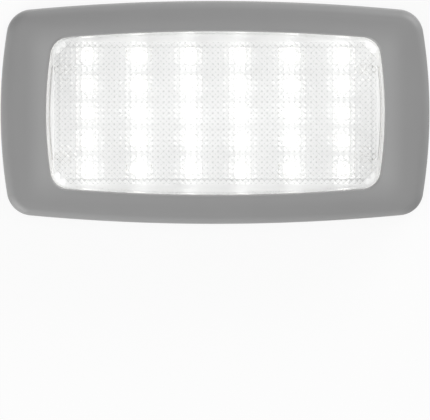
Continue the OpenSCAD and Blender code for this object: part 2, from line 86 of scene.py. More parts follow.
def add_node(tree, kind, settings=None, links=None):
    """A node of that kind, with its properties or socket values set and its sockets linked.

    Sockets without a name of their own go by number. In a sum these are 0, 1 and 2. In a mix
    of colours 0 is the share, 6 and 7 are the colours, and output 2 is the mixed colour."""
    node = tree.nodes.new(kind)
    for name, value in (settings or {}).items():
        if isinstance(name, str) and hasattr(node, name):
            setattr(node, name, value)
        else:
            node.inputs[name].default_value = value
    for name, source in (links or {}).items():
        tree.links.new(source, node.inputs[name])
    return node


def new_material(name):
    """An empty material, and its node tree."""
    material = bpy.data.materials.new(name)
    material.use_nodes = True
    material.node_tree.nodes.clear()
    return material, material.node_tree


def dress(piece, material, shader):
    """Ends the material with that shader, and adds it to the piece."""
    add_node(material.node_tree, "ShaderNodeOutputMaterial", {}, {"Surface": shader.outputs[0]})
    piece.data.materials.append(material)


def seen_ray(tree):
    """1 for rays from the camera, a gloss or a clear part, which see white, and 0 for the rest."""
    path = add_node(tree, "ShaderNodeLightPath")
    gloss = add_node(tree, "ShaderNodeMath", {"operation": "MAXIMUM"},
                     {0: path.outputs["Is Camera Ray"], 1: path.outputs["Is Glossy Ray"]})
    return add_node(tree, "ShaderNodeMath", {"operation": "MAXIMUM"},
                    {0: gloss.outputs[0], 1: path.outputs["Is Transmission Ray"]}).outputs[0]


SURROUND = 0.36
world = bpy.data.worlds.new("white surround")
world.use_nodes = True
bpy.context.scene.world = world
tree = world.node_tree
tree.nodes.clear()
lit = add_node(tree, "ShaderNodeBackground", {"Color": srgb("#ffffff"), "Strength": SURROUND})
seen = add_node(tree, "ShaderNodeBackground", {"Color": srgb("#ffffff"), "Strength": 1.0})
mixed = add_node(tree, "ShaderNodeMixShader", {},
                 {"Fac": seen_ray(tree), 1: lit.outputs[0], 2: seen.outputs[0]})
add_node(tree, "ShaderNodeOutputWorld", {}, {"Surface": mixed.outputs[0]})

CARD_SIZE = 12.0
CARD_GAP = 0.00005
CARD_GLOW = 0.88
bpy.ops.object.select_all(action="DESELECT")
bpy.ops.mesh.primitive_plane_add(size=CARD_SIZE, location=(0, 0, -CARD_GAP))
bpy.ops.object.transform_apply()
floor = bpy.context.object
floor.name = "floor"
# White studio card: matt and even, and it keeps the lamp's soft shadow.
material, tree = new_material("white studio card")
card = add_node(tree, "ShaderNodeBsdfDiffuse", {"Color": srgb("#f4f4f4")})
glow = add_node(tree, "ShaderNodeEmission", {"Color": srgb("#ffffff"), "Strength": 1.0})
share = add_node(tree, "ShaderNodeMath", {"operation": "MULTIPLY", 1: CARD_GLOW},
                 {0: seen_ray(tree)})
mixed = add_node(tree, "ShaderNodeMixShader", {},
                 {"Fac": share.outputs[0], 1: card.outputs[0], 2: glow.outputs[0]})
dress(floor, material, mixed)


def soft_box(name, place, size, watts):
    """A rectangular soft light that looks at the lamp."""
    data = bpy.data.lights.new(name, "AREA")
    data.shape = "RECTANGLE"
    data.size, data.size_y = size
    data.energy = watts
    light = bpy.data.objects.new(name, data)
    light.location = place
    light.rotation_mode = "QUATERNION"
    light.rotation_quaternion = (-Vector(place)).to_track_quat("-Z", "Y")
    light.visible_camera = False
    bpy.context.scene.collection.objects.link(light)


soft_box("overhead strip", place=(0, 0.001, 0.45), size=(0.35, 0.25), watts=0.48)
soft_box("upper soft box", place=(0.8, 0.92, 0.33), size=(0.9, 0.3), watts=10.4)
soft_box("lower soft box", place=(-0.8, -0.92, 0.33), size=(0.9, 0.3), watts=11.3)


# The tray: one white moulding in polycarbonate and ABS, screwed to the vehicle through four
# countersunk bosses. Its inner wall holds the board and the lens, and the bezel's hooks snap
# into the windows in its outer wall.
MM = 0.001


def pick(*pieces):
    """Selects these pieces and nothing else, with the first one active."""
    bpy.ops.object.select_all(action="DESELECT")
    for piece in pieces:
        piece.select_set(True)
    bpy.context.view_layer.objects.active = pieces[0]


def shade_evenly(piece, angle):
    """Shades round stretches smooth, and keeps flat faces flat up to their rounded edges."""
    bpy.ops.object.shade_smooth_by_angle(angle=math.radians(angle))
    even = piece.modifiers.new("even faces", "WEIGHTED_NORMAL")
    even.keep_sharp = True
    even.weight = 80
    bpy.ops.object.modifier_apply(modifier="even faces")


def round_edges(piece, width):
    """Rounds every hard edge of the piece."""
    edge = piece.modifiers.new("rounded edges", "BEVEL")
    edge.width = width
    edge.segments = 2
    edge.limit_method = "ANGLE"
    edge.angle_limit = math.radians(40)
    edge.use_clamp_overlap = True
    bpy.ops.object.modifier_apply(modifier="rounded edges")


def patterned_material(name):
    """An empty material, its node tree, and the Object coordinates that its patterns read."""
    material, tree = new_material(name)
    return material, tree, add_node(tree, "ShaderNodeTexCoord").outputs["Object"]


def softened(node, name, rounding):
    """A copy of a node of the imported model, in its place, with its hard edges rounded."""
    piece = bpy.data.objects.new(name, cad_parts[node].data.copy())
    bpy.context.scene.collection.objects.link(piece)
    pick(piece)
    bpy.ops.mesh.customdata_custom_splitnormals_clear()
    bpy.ops.object.mode_set(mode="EDIT")
    bpy.ops.mesh.select_all(action="SELECT")
    bpy.ops.mesh.remove_doubles(threshold=0.002 * MM)
    bpy.ops.mesh.dissolve_limited(angle_limit=math.radians(1))
    bpy.ops.object.mode_set(mode="OBJECT")
    round_edges(piece, rounding)
    shade_evenly(piece, 40)
    piece.data.materials.clear()
    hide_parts(node)
    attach(piece, "root")
    return piece


tray = softened("tray", "mounting_tray", rounding=0.15 * MM)
# White moulded PC and ABS: an even, slightly warm white with a fine spark-eroded tooth, and
# faint rings where the ejector pins stood. A painted glow stands for the lamps' light in the
# chamber round the board, and lights the plastic there up to the board's face.
PIN_STEP_X = 27 * MM
PIN_STEP_Y = 23 * MM
PIN_R = 2.2 * MM
PIN_EDGE = 0.15 * MM
CHAMBER_X = 61 * MM
CHAMBER_Y = 29.8 * MM
CHAMBER_LOW = 1.6 * MM
CHAMBER_HIGH = 6.8 * MM
CHAMBER_GLOW = 0.24
material, tree, place = patterned_material("white moulded tray plastic")
axes = add_node(tree, "ShaderNodeSeparateXYZ", {}, {"Vector": place})
pin_x = add_node(tree, "ShaderNodeMath", {"operation": "PINGPONG", 1: PIN_STEP_X / 2},
                 {0: axes.outputs["X"]})
pin_y = add_node(tree, "ShaderNodeMath", {"operation": "PINGPONG", 1: PIN_STEP_Y / 2},
                 {0: axes.outputs["Y"]})
from_pin = add_node(tree, "ShaderNodeCombineXYZ", {},
                    {"X": pin_x.outputs[0], "Y": pin_y.outputs[0]})
away = add_node(tree, "ShaderNodeVectorMath", {"operation": "LENGTH"}, {0: from_pin.outputs[0]})
dent = add_node(tree, "ShaderNodeMapRange",
                {"From Min": PIN_R - PIN_EDGE, "From Max": PIN_R, "interpolation_type": "SMOOTHSTEP"},
                {"Value": away.outputs["Value"]})
grain = add_node(tree, "ShaderNodeTexNoise", {"Scale": 1 / (0.4 * MM), "Detail": 3.0},
                 {"Vector": place})
drift = add_node(tree, "ShaderNodeTexNoise", {"Scale": 1 / (15 * MM)}, {"Vector": place})
tone = add_node(tree, "ShaderNodeMix",
                {"data_type": "RGBA", 6: srgb("#dfdfdd"), 7: srgb("#e6e6e4")},
                {0: drift.outputs["Fac"]})
tooth = add_node(tree, "ShaderNodeBump", {"Strength": 0.15, "Distance": 0.02 * MM},
                 {"Height": grain.outputs["Fac"]})
relief = add_node(tree, "ShaderNodeBump", {"Strength": 0.6, "Distance": 0.05 * MM},
                  {"Height": dent.outputs["Result"], "Normal": tooth.outputs["Normal"]})
sheen = add_node(tree, "ShaderNodeMapRange", {"To Min": 0.46, "To Max": 0.56},
                 {"Value": grain.outputs["Fac"]})
# Painted glow: the plastic in the chamber round the board glows, up to the board's face.
painted_glow_zone = add_node(tree, "ShaderNodeMath",
                  {"operation": "COMPARE", 1: (CHAMBER_LOW + CHAMBER_HIGH) / 2,
                   2: (CHAMBER_HIGH - CHAMBER_LOW) / 2}, {0: axes.outputs["Z"]}).outputs[0]
for axis, half in (("X", CHAMBER_X), ("Y", CHAMBER_Y)):
    within = add_node(tree, "ShaderNodeMath", {"operation": "COMPARE", 1: 0.0, 2: half},
                      {0: axes.outputs[axis]})
    painted_glow_zone = add_node(tree, "ShaderNodeMath", {"operation": "MULTIPLY"},
                      {0: painted_glow_zone, 1: within.outputs[0]}).outputs[0]
glow = add_node(tree, "ShaderNodeMath", {"operation": "MULTIPLY", 1: CHAMBER_GLOW}, {0: painted_glow_zone})
plastic = add_node(tree, "ShaderNodeBsdfPrincipled", {"IOR": 1.55, "Emission Color": srgb("#ffffff")},
                   {"Base Color": tone.outputs[2], "Roughness": sheen.outputs["Result"],
                    "Normal": relief.outputs["Normal"], "Emission Strength": glow.outputs[0]})
dress(tray, material, plastic)


# The wire terminal: a low push-in block of white polyamide, soldered to the back of the board
# by the wire entry. Its two mouths take the supply wires.
terminal = softened("wire_terminal", "supply_terminal", rounding=0.12 * MM)
# White polyamide: a milky, slightly glossy white, with a faint drift of tone and a fine grain.
material, tree, place = patterned_material("white polyamide")
grain = add_node(tree, "ShaderNodeTexNoise", {"Scale": 1 / (0.3 * MM), "Detail": 3.0},
                 {"Vector": place})
drift = add_node(tree, "ShaderNodeTexNoise", {"Scale": 1 / (12 * MM)}, {"Vector": place})
tone = add_node(tree, "ShaderNodeMix",
                {"data_type": "RGBA", 6: srgb("#e6e5df"), 7: srgb("#eeede8")},
                {0: drift.outputs["Fac"]})
bump = add_node(tree, "ShaderNodeBump", {"Strength": 0.15, "Distance": 0.02 * MM},
                {"Height": grain.outputs["Fac"]})
sheen = add_node(tree, "ShaderNodeMapRange", {"To Min": 0.4, "To Max": 0.48},
                 {"Value": grain.outputs["Fac"]})
plastic = add_node(tree, "ShaderNodeBsdfPrincipled", {"IOR": 1.53},
                   {"Base Color": tone.outputs[2], "Roughness": sheen.outputs["Result"],
                    "Normal": bump.outputs["Normal"]})
dress(terminal, material, plastic)


# The small parts on the back of the board: a ceramic fuse, two moulded diodes, the driver chip
# with its coil and capacitors, and the resistors. All are soldered by tinned leads or caps.
CAP_L = 0.5 * MM
CHIP_REACH = 1.6 * MM - CAP_L
GLAZE_T = 0.09 * MM
STRIPE_HALF_W = 0.22 * MM


def soldered_part(node, name, axis, reach, body, gloss, face=None, band=None):
    """A part whose body is of one stuff and which is tinned past reach from its middle.

    The body's colours are a dark and a light one. A face gives the colour of a glaze on the
    side away from the board, and a band the place of a pale stripe from the middle."""
    low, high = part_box(node)
    middle = (low + high) / 2
    part = softened(node, name, rounding=0.06 * MM)
    material, tree, place = patterned_material(name.replace("_", " ") + " finish")
    axes = add_node(tree, "ShaderNodeSeparateXYZ", {}, {"Vector": place})
    along = add_node(tree, "ShaderNodeMath",
                     {"operation": "SUBTRACT", 1: middle["XY".index(axis)]}, {0: axes.outputs[axis]})
    off = add_node(tree, "ShaderNodeMath", {"operation": "ABSOLUTE"}, {0: along.outputs[0]})
    tinned = add_node(tree, "ShaderNodeMath", {"operation": "GREATER_THAN", 1: reach},
                      {0: off.outputs[0]})
    grain = add_node(tree, "ShaderNodeTexNoise", {"Scale": 1 / (0.18 * MM), "Detail": 3.0},
                     {"Vector": place})
    tone = add_node(tree, "ShaderNodeMix",
                    {"data_type": "RGBA", 6: srgb(body[0]), 7: srgb(body[1])},
                    {0: grain.outputs["Fac"]})
    colour = tone.outputs[2]
    if face:
        outer = add_node(tree, "ShaderNodeMath", {"operation": "LESS_THAN", 1: low.z + GLAZE_T},
                         {0: axes.outputs["Z"]})
        glaze = add_node(tree, "ShaderNodeMix", {"data_type": "RGBA", 7: srgb(face)},
                         {0: outer.outputs[0], 6: colour})
        colour = glaze.outputs[2]
    if band is not None:
        near = add_node(tree, "ShaderNodeMath",
                        {"operation": "COMPARE", 1: band, 2: STRIPE_HALF_W}, {0: along.outputs[0]})
        stripe = add_node(tree, "ShaderNodeMix", {"data_type": "RGBA", 7: srgb("#b9b9b6")},
                          {0: near.outputs[0], 6: colour})
        colour = stripe.outputs[2]
    metal = add_node(tree, "ShaderNodeMix", {"data_type": "RGBA", 7: srgb("#cfcfca")},
                     {0: tinned.outputs[0], 6: colour})
    sheen = add_node(tree, "ShaderNodeMapRange", {"To Min": gloss, "To Max": 0.32},
                     {"Value": tinned.outputs[0]})
    bump = add_node(tree, "ShaderNodeBump", {"Strength": 0.2, "Distance": 0.01 * MM},
                    {"Height": grain.outputs["Fac"]})
    finish = add_node(tree, "ShaderNodeBsdfPrincipled", {"IOR": 1.55},
                      {"Base Color": metal.outputs[2], "Metallic": tinned.outputs[0],
                       "Roughness": sheen.outputs["Result"], "Normal": bump.outputs["Normal"]})
    dress(part, material, finish)


# Fired ceramic is pale and matt, and its caps are dull silver.
soldered_part("input_fuse", "ceramic_fuse", axis="X", reach=CHIP_REACH,
              body=("#d9d8d0", "#e6e5de"), gloss=0.5)
# Black epoxy: soft black with a fine tooth. A pale stripe marks the diode's line end.
soldered_part("reverse_diode", "guard_diode", axis="X", reach=2.15 * MM,
              body=("#161617", "#1f1f21"), gloss=0.55, band=1.5 * MM)
soldered_part("surge_suppressor", "surge_diode", axis="X", reach=2.3 * MM,
              body=("#161617", "#1f1f21"), gloss=0.55, band=1.6 * MM)
soldered_part("driver_chip", "driver_package", axis="Y", reach=1.95 * MM,
              body=("#151516", "#1c1c1e"), gloss=0.5)
# Multilayer capacitors are tan and slightly glossy.
for node, name in (("input_capacitor", "input_ceramic_block"),
                   ("output_capacitor", "output_ceramic_block")):
    soldered_part(node, name, axis="X", reach=CHIP_REACH,
                  body=("#ab9069", "#b99e77"), gloss=0.42)
# Chip resistors are white alumina with a black glaze on their outer face.
for node, name in (("sense_resistor", "sense_chip"), ("row_resistors", "row_chips")):
    soldered_part(node, name, axis="X", reach=CHIP_REACH,
                  body=("#dedcd4", "#e8e6df"), gloss=0.4, face="#1c1c1e")

coil_low, coil_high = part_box("driver_coil")
coil_middle = (coil_low + coil_high) / 2
GROOVE_IN = 0.62
GROOVE_OUT = 0.78
GROOVE_EDGE = 0.03 * MM
coil = softened("driver_coil", "shielded_coil", rounding=0.08 * MM)
# Pressed ferrite: dark grey and dry, with enamelled copper wire in the groove.
material, tree, place = patterned_material("pressed ferrite and copper wire")
centred = add_node(tree, "ShaderNodeVectorMath", {"operation": "SUBTRACT", 1: coil_middle},
                   {0: place})
flat = add_node(tree, "ShaderNodeVectorMath", {"operation": "MULTIPLY", 1: (1, 1, 0)},
                {0: centred.outputs[0]})
radius = add_node(tree, "ShaderNodeVectorMath", {"operation": "LENGTH"}, {0: flat.outputs[0]})
half = (coil_high.x - coil_low.x) / 2
wound = add_node(tree, "ShaderNodeMath",
                 {"operation": "COMPARE", 1: half * (GROOVE_IN + GROOVE_OUT) / 2,
                  2: half * (GROOVE_OUT - GROOVE_IN) / 2 - GROOVE_EDGE},
                 {0: radius.outputs["Value"]})
grit = add_node(tree, "ShaderNodeTexNoise", {"Scale": 1 / (0.25 * MM), "Detail": 4.0},
                {"Vector": place})
tone = add_node(tree, "ShaderNodeMix",
                {"data_type": "RGBA", 6: srgb("#37373a"), 7: srgb("#4a4a4e")},
                {0: grit.outputs["Fac"]})
colour = add_node(tree, "ShaderNodeMix", {"data_type": "RGBA", 7: srgb("#a5562c")},
                  {0: wound.outputs[0], 6: tone.outputs[2]})
bump = add_node(tree, "ShaderNodeBump", {"Strength": 0.3, "Distance": 0.02 * MM},
                {"Height": grit.outputs["Fac"]})
sheen = add_node(tree, "ShaderNodeMapRange", {"To Min": 0.62, "To Max": 0.3},
                 {"Value": wound.outputs[0]})
finish = add_node(tree, "ShaderNodeBsdfPrincipled", {},
                  {"Base Color": colour.outputs[2], "Metallic": wound.outputs[0],
                   "Roughness": sheen.outputs["Result"], "Normal": bump.outputs["Normal"]})
dress(coil, material, finish)


# The circuit board: glass-filled epoxy with a white solder mask, pushed down on the tray's
# standoffs. A painted glow stands for the lamps' light that the prisms throw back. It lights the
# mask below the whole prism field, most of all in a painted pool round each lamp, and less at
# its ends and in its corners.
LAMP_COLS = 6
LAMP_ROWS = 5
POOL_R = 6.6 * MM
POOL_FLATTEN = 0.95
POOL_GLOW = 0.24
FIELD_GLOW = 0.287
END_GLOW = 0.1
CORNER_SHARE = 0.77
FIELD_X = 56 * MM
FIELD_Y = 24.7 * MM
FIELD_CORNER = 76.5 * MM
FADE = 0.8 * MM
END_BOW_R = 140 * MM
BARE_END = 0.4 * MM
BARE_HALF_W = 16.5 * MM
BOARD_EDGE_R = 0.08 * MM
CUT_EDGE_IN = 0.09 * MM
MASK_T = 0.05 * MM
first_low, first_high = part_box("led_1_1")
last_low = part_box(f"led_{LAMP_ROWS}_{LAMP_COLS}")[0]
pitch_x = (last_low.x - first_low.x) / (LAMP_COLS - 1)
pitch_y = (first_low.y - last_low.y) / (LAMP_ROWS - 1)
board_low, board_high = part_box("circuit_board")
board = softened("circuit_board", "lamp_board", rounding=BOARD_EDGE_R)
# White solder mask: smooth, bright and a little glossy. A bare strip in the middle of each end,
# where the board was parted from its panel, and the cut edge show bare laminate.
material, tree, place = patterned_material("white solder mask on epoxy laminate")
axes = add_node(tree, "ShaderNodeSeparateXYZ", {}, {"Vector": place})
to_gap = add_node(tree, "ShaderNodeMath", {"operation": "PINGPONG", 1: pitch_x / 2},
                  {0: axes.outputs["X"]})
off_x = add_node(tree, "ShaderNodeMath", {"operation": "SUBTRACT", 0: pitch_x / 2},
                 {1: to_gap.outputs[0]})
off_y = add_node(tree, "ShaderNodeMath", {"operation": "PINGPONG", 1: pitch_y / 2},
                 {0: axes.outputs["Y"]})
low_y = add_node(tree, "ShaderNodeMath", {"operation": "MULTIPLY", 1: POOL_FLATTEN},
                 {0: off_y.outputs[0]})
from_lamp = add_node(tree, "ShaderNodeCombineXYZ", {},
                     {"X": off_x.outputs[0], "Y": low_y.outputs[0]})
away = add_node(tree, "ShaderNodeVectorMath", {"operation": "LENGTH"}, {0: from_lamp.outputs[0]})
# Painted light: a pool round each lamp, over a painted glow across the prism field.
painted_pool = add_node(tree, "ShaderNodeMapRange",
                {"From Min": POOL_R, "From Max": 0.0, "To Min": 0.0, "To Max": POOL_GLOW,
                 "interpolation_type": "SMOOTHSTEP"}, {"Value": away.outputs["Value"]})
out_x = add_node(tree, "ShaderNodeMath", {"operation": "ABSOLUTE"}, {0: axes.outputs["X"]})
out_y = add_node(tree, "ShaderNodeMath", {"operation": "ABSOLUTE"}, {0: axes.outputs["Y"]})
along = add_node(tree, "ShaderNodeMapRange",
                 {"From Min": FIELD_X - FADE, "From Max": FIELD_X + FADE,
                  "To Min": FIELD_GLOW, "To Max": END_GLOW, "interpolation_type": "SMOOTHSTEP"},
                 {"Value": out_x.outputs[0]})
across = add_node(tree, "ShaderNodeMapRange",
                  {"From Min": FIELD_Y - FADE, "From Max": FIELD_Y + FADE,
                   "To Min": 1.0, "To Max": 0.0, "interpolation_type": "SMOOTHSTEP"},
                  {"Value": out_y.outputs[0]})
out_both = add_node(tree, "ShaderNodeMath", {"operation": "ADD"},
                    {0: out_x.outputs[0], 1: out_y.outputs[0]})
corner = add_node(tree, "ShaderNodeMapRange",
                  {"From Min": FIELD_CORNER - FADE, "From Max": FIELD_CORNER + FADE,
                   "To Min": 1.0, "To Max": CORNER_SHARE, "interpolation_type": "SMOOTHSTEP"},
                  {"Value": out_both.outputs[0]})
covered_share = add_node(tree, "ShaderNodeMath", {"operation": "MINIMUM"},
                         {0: across.outputs["Result"], 1: corner.outputs["Result"]})
field = add_node(tree, "ShaderNodeMath", {"operation": "MULTIPLY"},
                 {0: along.outputs["Result"], 1: covered_share.outputs[0]})
glow = add_node(tree, "ShaderNodeMath", {"operation": "ADD"},
                {0: painted_pool.outputs["Result"], 1: field.outputs[0]})
from_bow = add_node(tree, "ShaderNodeMath", {"operation": "SUBTRACT", 1: board_high.x - END_BOW_R},
                    {0: out_x.outputs[0]})
on_bow = add_node(tree, "ShaderNodeCombineXYZ", {},
                  {"X": from_bow.outputs[0], "Y": axes.outputs["Y"]})
to_end = add_node(tree, "ShaderNodeVectorMath", {"operation": "LENGTH"}, {0: on_bow.outputs[0]})
within = add_node(tree, "ShaderNodeMath", {"operation": "LESS_THAN", 1: END_BOW_R - BARE_END},
                  {0: to_end.outputs["Value"]})
beside = add_node(tree, "ShaderNodeMath", {"operation": "GREATER_THAN", 1: BARE_HALF_W},
                  {0: out_y.outputs[0]})
covered = add_node(tree, "ShaderNodeMath", {"operation": "MAXIMUM"},
                   {0: within.outputs[0], 1: beside.outputs[0]})
top = add_node(tree, "ShaderNodeMath",
               {"operation": "GREATER_THAN", 1: board_high.z - MASK_T}, {0: axes.outputs["Z"]})
lit_top = add_node(tree, "ShaderNodeMath", {"operation": "MULTIPLY"},
                   {0: top.outputs[0], 1: covered.outputs[0]})
painted_glow = add_node(tree, "ShaderNodeMath", {"operation": "MULTIPLY"},
                  {0: glow.outputs[0], 1: lit_top.outputs[0]})
height = add_node(tree, "ShaderNodeMath",
                  {"operation": "COMPARE", 1: (board_low.z + board_high.z) / 2,
                   2: (board_high.z - board_low.z) / 2 - CUT_EDGE_IN}, {0: axes.outputs["Z"]})
weave = add_node(tree, "ShaderNodeTexNoise", {"Scale": 1 / (0.6 * MM)}, {"Vector": place})
tone = add_node(tree, "ShaderNodeMix",
                {"data_type": "RGBA", 6: srgb("#f2f3f2"), 7: srgb("#f6f7f6")},
                {0: weave.outputs["Fac"]})
masked = add_node(tree, "ShaderNodeMix", {"data_type": "RGBA", 6: srgb("#c2c2c0")},
                  {0: covered.outputs[0], 7: tone.outputs[2]})
colour = add_node(tree, "ShaderNodeMix", {"data_type": "RGBA", 7: srgb("#cfc69a")},
                  {0: height.outputs[0], 6: masked.outputs[2]})
bump = add_node(tree, "ShaderNodeBump", {"Strength": 0.1, "Distance": 0.02 * MM},
                {"Height": weave.outputs["Fac"]})
mask = add_node(tree, "ShaderNodeBsdfPrincipled",
                {"Roughness": 0.32, "IOR": 1.55, "Emission Color": srgb("#ffffff")},
                {"Base Color": colour.outputs[2], "Emission Strength": painted_glow.outputs[0],
                 "Normal": bump.outputs["Normal"]})
dress(board, material, mask)


# The thirty lamps: white moulded packages 5 mm square, each with a round well of clear gel over
# a pale phosphor and three tinned leads folded out on each side. One corner is cut to mark it.
# They are soldered to the board, and lit.
WELL_R = 2.05 * MM
WELL_D = 0.15 * MM
WELL_FOOT = 0.9
LEAD_W = 0.8 * MM
LEAD_T = 0.32 * MM
LEAD_PITCH = 1.6 * MM
LEAD_ROOT = 0.1 * MM
LEAD_EDGE_R = 0.05 * MM
CORNER_CUT = 0.55 * MM
PACKAGE_EDGE_R = 0.08 * MM
package_w = first_high.y - first_low.y
package_h = first_high.z - first_low.z
lead_reach = (first_high.x - first_low.x - package_w) / 2


def start_block(size, middle):
    """A block of that size round that middle, left in edit mode, all selected."""
    bpy.ops.object.select_all(action="DESELECT")
    bpy.ops.mesh.primitive_cube_add(size=1)
    block = bpy.context.object
    block.scale = size
    block.location = middle
    bpy.ops.object.transform_apply()
    bpy.ops.object.mode_set(mode="EDIT")
    bpy.ops.mesh.select_all(action="SELECT")
    return block


def placed_copy(name, mesh, matrix):
    """An object at the origin with its own copy of that mesh, moved within by the matrix."""
    copy = bpy.data.objects.new(name, mesh.copy())
    copy.data.transform(matrix)
    bpy.context.scene.collection.objects.link(copy)
    return copy


package = start_block((package_w, package_w, package_h), (0, 0, package_h / 2))
bpy.ops.mesh.bisect(plane_co=(package_w / 2 - CORNER_CUT, package_w / 2, package_h),
                    plane_no=(1, 1, 0.9), use_fill=True, clear_outer=True)
bpy.ops.mesh.select_all(action="SELECT")
bpy.ops.mesh.bevel(offset=PACKAGE_EDGE_R, segments=2, affect="EDGES")
bpy.ops.object.mode_set(mode="OBJECT")

bpy.ops.object.select_all(action="DESELECT")
bpy.ops.mesh.primitive_cone_add(vertices=48, radius1=WELL_R * WELL_FOOT, radius2=WELL_R,
                                depth=2 * WELL_D, location=(0, 0, package_h))
well = bpy.context.object
bpy.ops.object.transform_apply()
cut = package.modifiers.new("well", "BOOLEAN")
cut.operation = "DIFFERENCE"
cut.solver = "EXACT"
cut.object = well
pick(package)
bpy.ops.object.modifier_apply(modifier="well")
bpy.data.objects.remove(well)

# White moulded resin: bright and satin, lit through by the lamp's own light.
material, tree, place = patterned_material("white moulded lamp package")
clouds = add_node(tree, "ShaderNodeTexNoise", {"Scale": 1 / (1.5 * MM)}, {"Vector": place})
tone = add_node(tree, "ShaderNodeMix",
                {"data_type": "RGBA", 6: srgb("#f3f2ee"), 7: srgb("#faf9f6")},
                {0: clouds.outputs["Fac"]})
body = add_node(tree, "ShaderNodeBsdfPrincipled",
                {"Roughness": 0.45, "IOR": 1.6, "Emission Color": srgb("#ffffff"),
                 "Emission Strength": 0.5}, {"Base Color": tone.outputs[2]})
dress(package, material, body)

# Lit phosphor under clear gel: blown out to white, with a glossy skin.
material, tree, place = patterned_material("lit phosphor gel")
speckle = add_node(tree, "ShaderNodeTexNoise", {"Scale": 1 / (0.2 * MM)}, {"Vector": place})
level = add_node(tree, "ShaderNodeMapRange", {"To Min": 2.6, "To Max": 3.6},
                 {"Value": speckle.outputs["Fac"]})
gel = add_node(tree, "ShaderNodeBsdfPrincipled",
               {"Base Color": srgb("#fff2b8"), "Roughness": 0.15, "IOR": 1.41,
                "Emission Color": srgb("#fffdf8")}, {"Emission Strength": level.outputs["Result"]})
dress(package, material, gel)
FLOOR_TOL = 0.02 * MM
for face in package.data.polygons:
    sunk = abs(face.center.z - (package_h - WELL_D)) < FLOOR_TOL and abs(face.normal.z) > 0.9
    face.material_index = 1 if sunk and face.center.xy.length < WELL_R else 0

# Tinned copper leads: a soft dull silver.
material, tree, place = patterned_material("tinned lead frame")
rub = add_node(tree, "ShaderNodeTexNoise", {"Scale": 1 / (0.3 * MM)}, {"Vector": place})
dull = add_node(tree, "ShaderNodeMapRange", {"To Min": 0.28, "To Max": 0.42},
                {"Value": rub.outputs["Fac"]})
tin = add_node(tree, "ShaderNodeBsdfPrincipled",
               {"Base Color": srgb("#d6d6d2"), "Metallic": 1.0},
               {"Roughness": dull.outputs["Result"]})
add_node(tree, "ShaderNodeOutputMaterial", {}, {"Surface": tin.outputs[0]})

for side in (-1, 1):
    for k in (-1, 0, 1):
        out = side * (package_w + lead_reach - LEAD_ROOT) / 2
        lead = start_block((lead_reach + LEAD_ROOT, LEAD_W, LEAD_T),
                           (out, k * LEAD_PITCH, LEAD_T / 2))
        bpy.ops.mesh.bevel(offset=LEAD_EDGE_R, segments=2, affect="EDGES")
        bpy.ops.object.mode_set(mode="OBJECT")
        lead.data.materials.append(material)
        pick(package, lead)
        bpy.ops.object.join()
shade_evenly(package, 35)

for row in range(1, LAMP_ROWS + 1):
    for col in range(1, LAMP_COLS + 1):
        node = f"led_{row}_{col}"
        low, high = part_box(node)
        seat = Vector(((low.x + high.x) / 2, (low.y + high.y) / 2, low.z))
        lamp = placed_copy(f"lamp_{row}_{col}", package.data, Matrix.Translation(seat))
        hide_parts(node)
        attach(lamp, "root")
bpy.data.objects.remove(package)


# The four rivets: natural nylon, pushed through the board into the tray's standoffs. Each has
# a low domed head with the drive pin sunk in its middle, and a shank with a chamfered tip.
RIVET_SPAN = 29.8 * MM
RIVET_R = 1.2 * MM
RIVET_HEAD_R = 2.1 * MM
PIN_HEAD_R = 0.85 * MM
PIN_SINK = 0.25 * MM
PIN_FLAT = 0.8
PIN_EDGE_R = 0.06 * MM
HEAD_EDGE_R = 0.08 * MM
HEAD_SIDE = 0.3
HEAD_FLAT = 0.62
TIP_L = 0.5 * MM
TIP_FLAT = 0.55
TIP_SHOULDER = 0.8
TIP_EDGE_R = 0.05 * MM
rivet_low, rivet_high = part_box("board_rivets")
rivet_x = rivet_high.x - RIVET_HEAD_R
seat_z = board_high.z


def start_ring(name, ring):
    """A new object whose mesh is one closed ring of points, left in edit mode, all selected.

    Each point keeps its number in the ring, which extruding passes on."""
    bpy.ops.object.select_all(action="DESELECT")
    bpy.ops.mesh.primitive_circle_add(vertices=len(ring), radius=1 * MM)
    piece = bpy.context.object
    piece.name = piece.data.name = name
    bpy.ops.object.mode_set(mode="EDIT")
    bpy.ops.mesh.select_all(action="SELECT")
    mesh = bmesh.from_edit_mesh(piece.data)
    number = mesh.verts.layers.int.new("number")
    mesh.verts.ensure_lookup_table()
    for k, point in enumerate(ring):
        mesh.verts[k].co = point
        mesh.verts[k][number] = k
    bmesh.update_edit_mesh(piece.data)
    return piece


def extrude_ring(piece, ring):
    """Extrudes the selected ring, and puts its points where the next ring has them."""
    bpy.ops.mesh.extrude_edges_move()
    mesh = bmesh.from_edit_mesh(piece.data)
    number = mesh.verts.layers.int["number"]
    for vert in mesh.verts:
        if vert.select:
            vert.co = ring[vert[number]]
    bmesh.update_edit_mesh(piece.data)


def finish_mesh(piece, smooth_angle=30):
    """Leaves edit mode with the doubles merged, faces outwards and round stretches smooth."""
    bpy.ops.mesh.select_all(action="SELECT")
    bpy.ops.mesh.remove_doubles(threshold=0.001 * MM)
    bpy.ops.mesh.normals_make_consistent(inside=False)
    bpy.ops.object.mode_set(mode="OBJECT")
    number = piece.data.attributes.get("number")
    if number:
        piece.data.attributes.remove(number)
    pick(piece)
    bpy.ops.object.shade_smooth_by_angle(angle=math.radians(smooth_angle))


def turned_ring(r, z, steps=40):
    """A level circle of points about the Z axis."""
    return [(r * math.cos(2 * math.pi * k / steps), r * math.sin(2 * math.pi * k / steps), z)
            for k in range(steps)]


